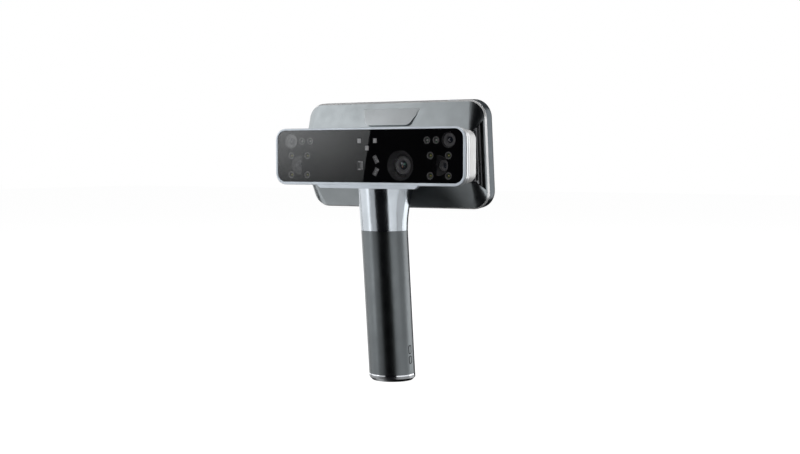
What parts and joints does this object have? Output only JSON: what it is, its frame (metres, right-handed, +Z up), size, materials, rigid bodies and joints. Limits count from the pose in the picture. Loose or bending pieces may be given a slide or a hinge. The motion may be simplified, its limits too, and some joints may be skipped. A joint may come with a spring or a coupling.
{
  "type": "handheld scanner",
  "caption": "Handheld 3-D scanner: a wide camera bar on a flat display head, on a round leaning handle with a slide-out battery.",
  "frame": {"origin": "middle of the flat underside of the base cap", "axes": "+Z up, the window and the cameras look along -Y, +X to the right of someone who faces the window; the handle leans 5.7 degrees about X"},
  "size_m": [0.1946, 0.0651, 0.2493],
  "materials": {
    "silver_trim": "satin anodised",
    "window_glass": "dark tinted polished",
    "black_plastic": "fine matt moulded",
    "bar_band": "satin light silver paint",
    "pearl_shell": "satin pearl paint",
    "gunmetal_shell": "satin metallic gunmetal paint",
    "head_band": "satin blue grey anodised",
    "vent_metal": "dark satin paint",
    "badge_metal": "satin silver grey",
    "screen_glass": "polished black",
    "screen_panel": "display stack",
    "cast_metal": "as cast, machined faces",
    "board_green": "solder mask",
    "chip_black": "moulded package",
    "lens_glass": "coated lens",
    "camera_black": "black anodised barrel",
    "lamp_white": "white lamp package",
    "lamp_amber": "amber lamp package",
    "sensor_grey": "diffuser",
    "laser_metal": "turned sleeve",
    "flex_amber": "polyimide film",
    "neck_metal": "satin silver paint",
    "grip_rubber": "soft touch",
    "chrome_ring": "polished",
    "cap_plastic": "satin",
    "tube_metal": "drawn tube",
    "liner_plastic": "moulded",
    "cell_wrap": "heat shrink wrap over the cell",
    "contact_gold": "gold plated",
    "key_plastic": "satin key",
    "key_accent": "satin accent key",
    "seal_rubber": "matt",
    "steel_screw": "zinc plated",
    "lead_wire": "wire sleeve"
  },
  "bodies": {
    "scanner": {"antennas": "flex_amber", "badge_plate": "badge_metal", "bar_frame": "bar_band", "bar_shell": "pearl_shell", "base_ring": "chrome_ring", "battery_leads": "lead_wire", "battery_liner": "liner_plastic", "blower_case": "black_plastic", "board_parts": "chip_black", "chassis_plate": "cast_metal", "chassis_screws": "steel_screw", "colour_camera": "camera_black", "colour_lens": "lens_glass", "contact_block": "contact_gold", "depth_camera_left": "camera_black", "depth_camera_right": "camera_black", "depth_lenses": "lens_glass", "display_glass": "screen_glass", "display_panel": "screen_panel", "front_bezel": "silver_trim", "front_window": "window_glass", "grip_sleeve": "grip_rubber", "handle_tube": "tube_metal", "head_frame": "head_band", "head_front_shell": "gunmetal_shell", "heat_sink": "cast_metal", "infrared_lamps": "lamp_amber", "keypad_bezel": "key_plastic", "keypad_board": "board_green", "lamp_boards": "board_green", "laser_modules": "laser_metal", "light_sensors": "sensor_grey", "main_board": "board_green", "neck_core": "cast_metal", "neck_front_shell": "neck_metal", "neck_rear_shell": "neck_metal", "optics_beam": "cast_metal", "optics_board": "board_green", "optics_flex": "flex_amber", "optics_mask": "black_plastic", "optics_screws": "steel_screw", "pattern_projector": "laser_metal", "port_socket": "steel_screw", "rear_bezel": "black_plastic", "tracking_cameras": "camera_black", "tracking_lenses": "lens_glass", "vent_grille_left": "vent_metal", "vent_grille_right": "vent_metal", "white_lamps": "lamp_white", "window_frame": "black_plastic"},
    "battery_pack": {"battery_can": "liner_plastic", "battery_cells": "cell_wrap", "battery_lid": "contact_gold", "base_seal": "seal_rubber", "base_cap": "cap_plastic"},
    "scan_key": {"scan_button": "key_accent"},
    "rocker": {"rocker_key": "key_plastic"},
    "power_key": {"power_button": "silver_trim"},
    "port_flap": {"port_cover": "seal_rubber"},
    "blower_fan": {"blower_rotor": "camera_black"}
  },
  "joints": [
    {"name": "battery_slide", "type": "slide", "parent": "scanner", "child": "battery_pack", "axis": [0, 0.0993, -0.9951], "range_m": [0, 0.145]},
    {"name": "scan_press", "type": "slide", "parent": "scanner", "child": "scan_key", "axis": [0, -0.9951, -0.0993], "range_m": [0, 0.0008], "stiffness_N_per_m": 900},
    {"name": "rocker_tilt", "type": "hinge", "parent": "scanner", "child": "rocker", "pos_m": [0, 0.00913, 0.10583], "axis": [1, 0, 0], "range_deg": [-3.5, 3.5], "stiffness_Nm_per_rad": 0.08},
    {"name": "power_press", "type": "slide", "parent": "scanner", "child": "power_key", "axis": [0, 0.0993, -0.9951], "range_m": [0, 0.0005], "stiffness_N_per_m": 900},
    {"name": "port_cover_hinge", "type": "hinge", "parent": "scanner", "child": "port_flap", "pos_m": [-0.0928, 0.00979, 0.19896], "axis": [0, -0.9951, -0.0993], "range_deg": [0, 110]},
    {"name": "blower_spin", "type": "hinge", "parent": "scanner", "child": "blower_fan", "pos_m": [0.056, 0.0001, 0.2004], "axis": [0, 0.9951, 0.0993], "continuous": true}
  ]
}
